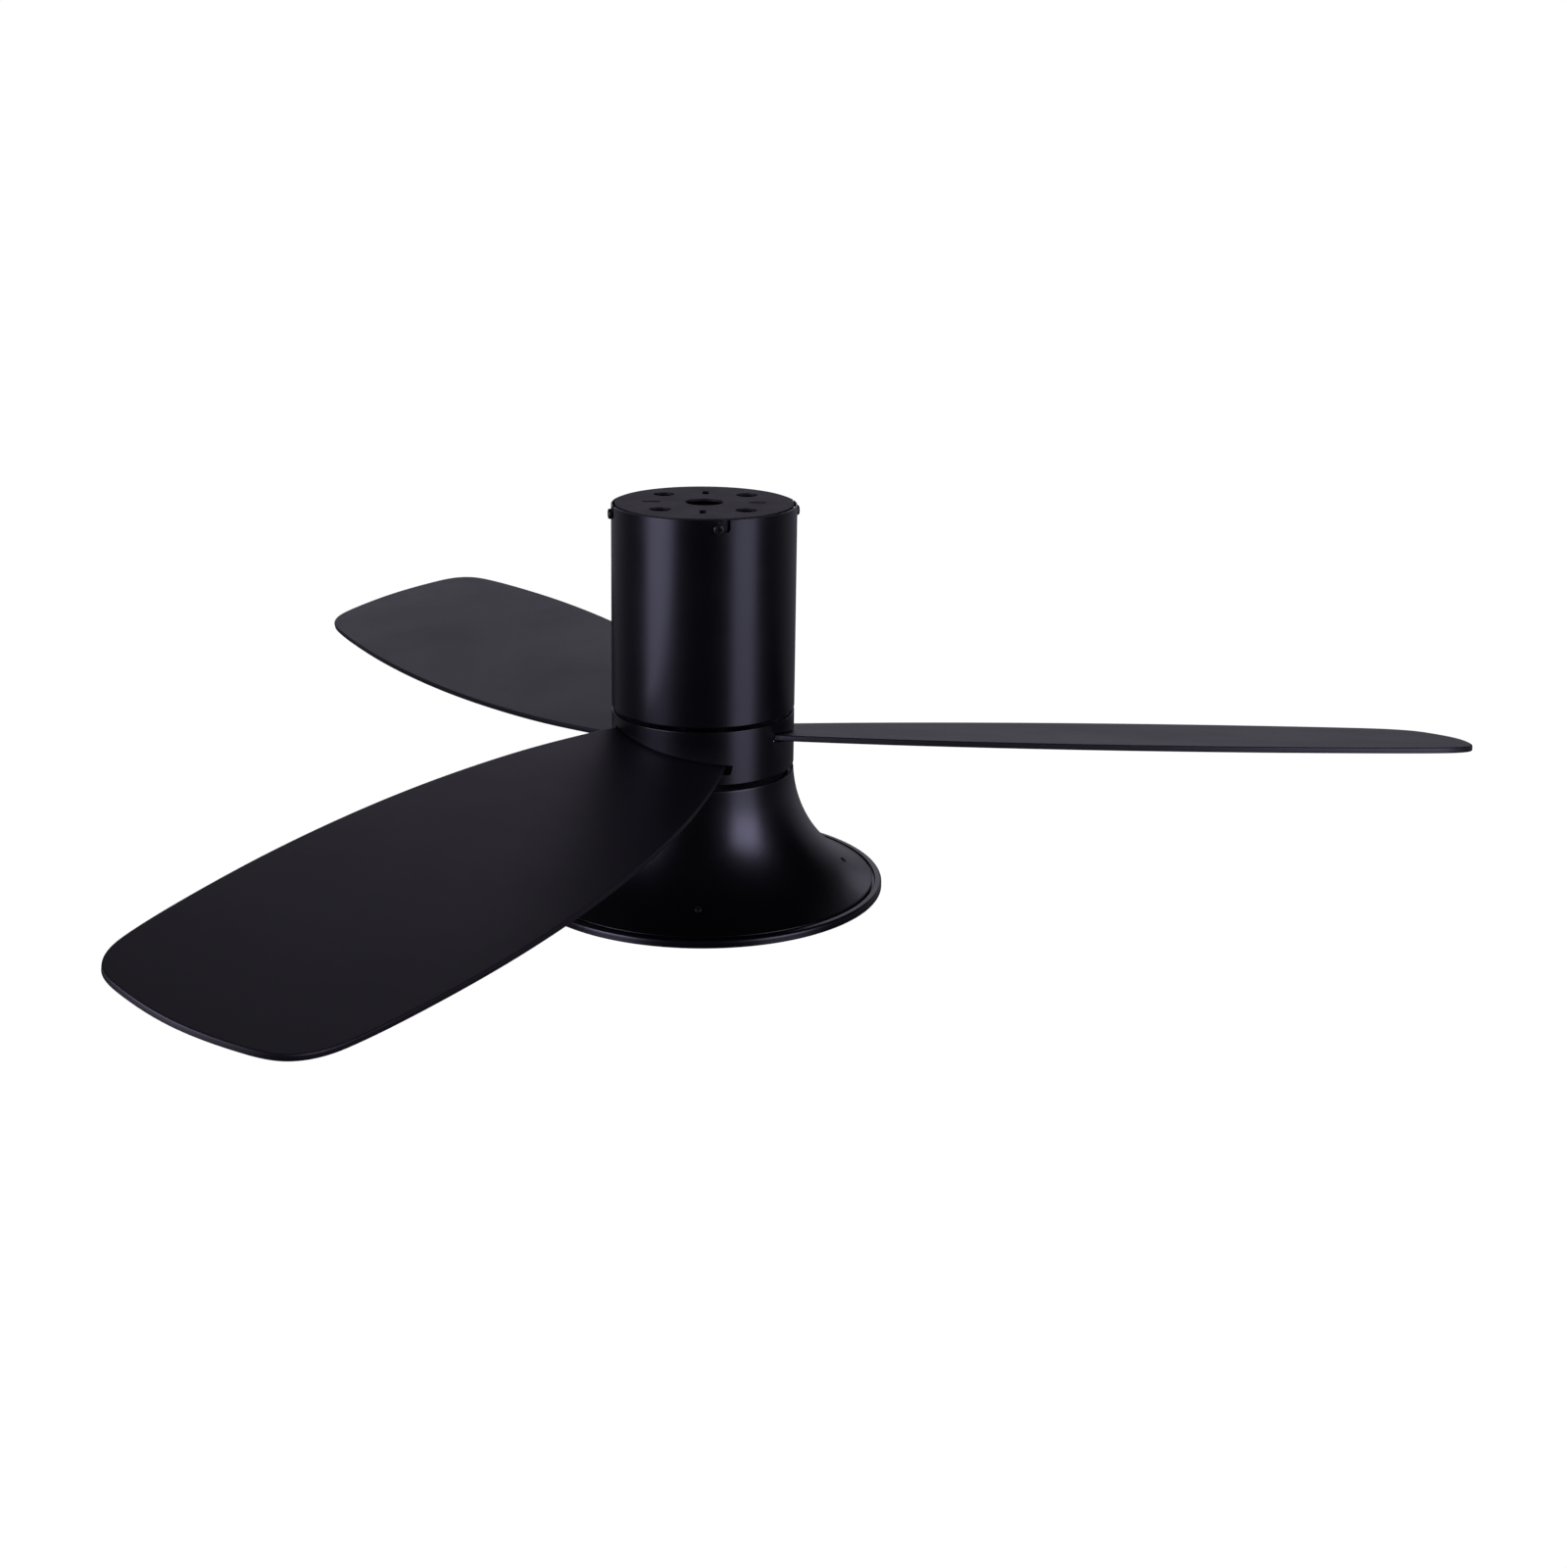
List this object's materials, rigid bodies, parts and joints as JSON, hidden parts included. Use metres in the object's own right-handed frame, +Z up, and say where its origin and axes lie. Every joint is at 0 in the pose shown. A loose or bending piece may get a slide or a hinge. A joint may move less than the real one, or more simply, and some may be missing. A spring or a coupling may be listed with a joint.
{
  "type": "ceiling fan with light",
  "caption": "Flush-mount ceiling fan with flat pitched blades on a slotted hub, a bayonet cylinder canopy, and a trumpet-shaped shade with a round downlight.",
  "frame": {"origin": "centre of the mounting plate's ceiling face, on the rotor's axis", "axes": "+Z up into the ceiling, along the rotor's axis; +X and +Y through the two pairs of ceiling slots"},
  "size_m": [1.0693, 1.1834, 0.3475],
  "materials": {
    "black_paint": "satin black powder coat",
    "black_blade": "fine matt black moulding",
    "black_ecoat": "matt black electrocoat",
    "zinc_plate": "bright zinc plated sheet",
    "black_screw": "black oxide",
    "steel": "machined steel",
    "cast_alu": "die-cast, fine grain",
    "lamination": "stacked silicon steel",
    "magnet": "sintered ferrite",
    "copper": "enamelled copper wire",
    "nylon": "natural nylon",
    "grey_plastic": "moulded, matt",
    "board_green": "solder mask",
    "board_white": "white solder mask",
    "parts_dark": "moulded components",
    "brass": "plain",
    "rubber": "soft black",
    "lead_sheath": "smooth sheath",
    "opal": "opal acrylic, satin",
    "phosphor": "LED phosphor"
  },
  "bodies": {
    "ceiling_mount": {"mounting_plate": "black_ecoat", "canopy_screws": "black_screw"},
    "housing": {"canopy": "black_paint", "motor_deck": "zinc_plate", "receiver_box": "grey_plastic", "receiver_lid": "grey_plastic", "receiver_board": "board_green", "receiver_parts": "parts_dark", "wiring_screws": "steel", "terminal_block": "nylon", "terminal_screws": "brass", "earth_screw": "brass", "supply_leads": "lead_sheath", "shaft_flange": "cast_alu", "flange_screws": "steel", "grub_screws": "steel", "motor_shaft": "steel", "retaining_rings": "steel", "stator_hub": "cast_alu", "stator_core": "lamination", "stator_insulators": "nylon", "stator_windings": "copper", "bearing_inner_races": "steel", "light_bracket": "black_paint", "shaft_washer": "steel", "shaft_nut": "steel", "cable_grommet": "rubber", "light_shade": "black_paint", "bracket_screws": "black_screw", "shade_screws": "black_screw", "light_pan": "black_paint", "led_driver": "nylon", "driver_screws": "steel", "led_board": "board_white", "board_screws": "steel", "led_chips": "phosphor", "light_cable": "lead_sheath", "motor_cable": "lead_sheath", "led_leads": "lead_sheath"},
    "rotor": {"rotor_top_cover": "cast_alu", "rotor_bottom_cover": "cast_alu", "rotor_screws": "steel", "rotor_yoke": "lamination", "rotor_magnets": "magnet", "bearing_outer_races": "steel", "bearing_shields": "steel", "blade_hub": "black_paint", "hub_screws": "steel", "blade_clamps": "zinc_plate", "blade_screws": "steel", "blade_1": "black_blade", "blade_2": "black_blade", "blade_3": "black_blade"},
    "ball_sets": {"bearing_balls": "steel", "bearing_cages": "brass"},
    "diffuser": {"diffuser": "opal"}
  },
  "joints": [
    {"name": "housing_bayonet", "type": "hinge", "parent": "ceiling_mount", "child": "housing", "pos_m": [0, 0, -0.0084], "axis": [0, 0, 1], "range_deg": [-5.3, 0]},
    {"name": "rotor_spin", "type": "hinge", "parent": "housing", "child": "rotor", "pos_m": [0, 0, -0.1995], "axis": [0, 0, 1], "continuous": true},
    {"name": "ball_orbit", "type": "hinge", "parent": "housing", "child": "ball_sets", "pos_m": [0, 0, -0.148], "axis": [0, 0, 1], "continuous": true},
    {"name": "diffuser_twist", "type": "hinge", "parent": "housing", "child": "diffuser", "pos_m": [0, 0, -0.3308], "axis": [0, 0, -1], "range_deg": [0, 18]}
  ],
  "couplings": [
    {"joint": "ball_orbit", "follows": "rotor_spin", "ratio": 0.6184}
  ]
}
